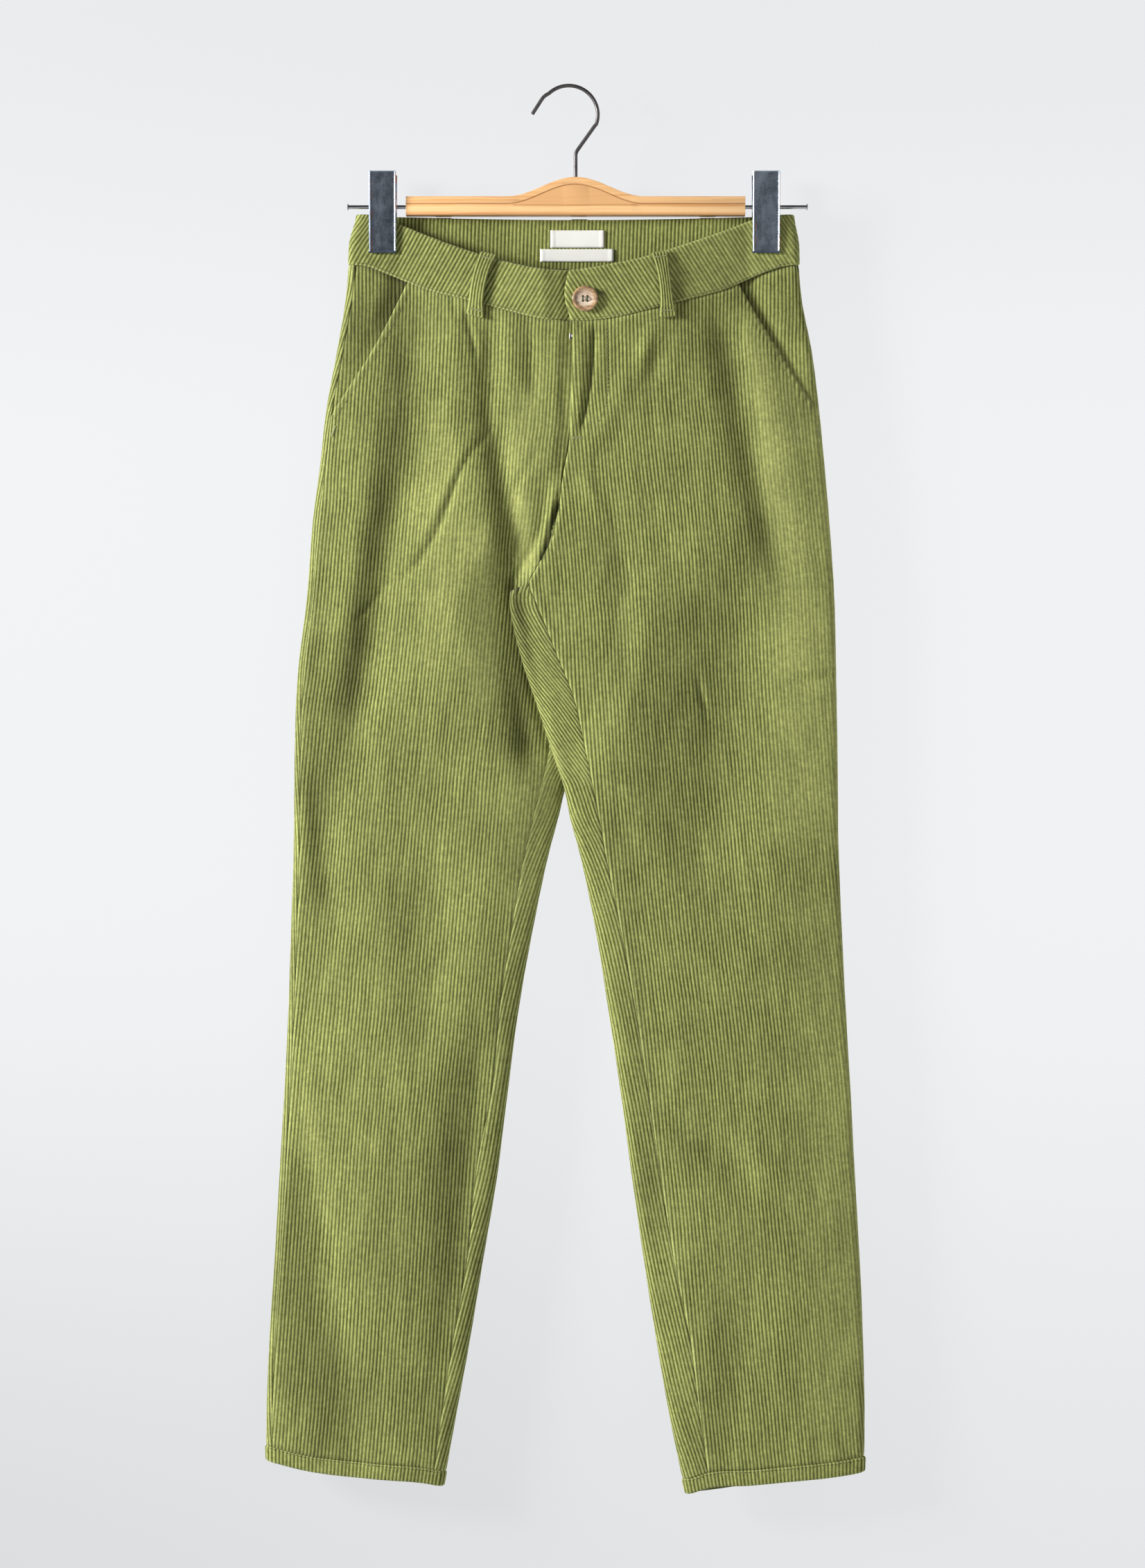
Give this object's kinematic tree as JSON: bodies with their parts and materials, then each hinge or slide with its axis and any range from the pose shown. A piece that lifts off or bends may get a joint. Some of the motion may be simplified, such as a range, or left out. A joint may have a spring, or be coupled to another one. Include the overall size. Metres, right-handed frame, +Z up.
{
  "type": "corduroy chinos on a clip hanger",
  "caption": "Straight-leg corduroy chinos with slanted pockets, belt loops and a buttoned waistband, hung flat by the waist from a wooden bar hanger with metal clips and a hook.",
  "frame": {"origin": "the point on the inner side of the hook's crown, above the stem, that bears on a rail", "axes": "+Z up, the garment's front faces -Y, and +X is to the right as seen from the front"},
  "size_m": [0.4721, 0.0401, 1.1089],
  "materials": {
    "corduroy": "ribbed cotton pile, matt with a soft sheen on the ribs",
    "woven_label": "smooth woven tape",
    "horn": "polished horn look",
    "steel": "drawn wire, bright",
    "chrome": "plated sheet, lightly worn",
    "wood": "pale wood, satin lacquer"
  },
  "bodies": {
    "root": {"front_left": "corduroy", "front_right": "corduroy", "back_left": "corduroy", "back_right": "corduroy", "pocket_facing_left": "corduroy", "pocket_facing_right": "corduroy", "waistband_front_left": "corduroy", "waistband_front_right": "corduroy", "waistband_back": "corduroy", "belt_loop_front_left": "corduroy", "belt_loop_front_right": "corduroy", "belt_loop_back_left": "corduroy", "belt_loop_back_middle": "corduroy", "belt_loop_back_right": "corduroy", "hem_left": "corduroy", "hem_right": "corduroy", "label_upper": "woven_label", "label_lower": "woven_label", "button": "horn", "zip_slider": "steel", "rod_left": "steel", "rod_right": "steel", "hanger_hook": "steel", "clip_spring_left": "steel", "clip_spring_right": "steel", "clip_front_left": "chrome", "clip_front_right": "chrome", "clip_back_left": "chrome", "clip_back_right": "chrome", "hanger_bar": "wood"}
  },
  "joints": []
}
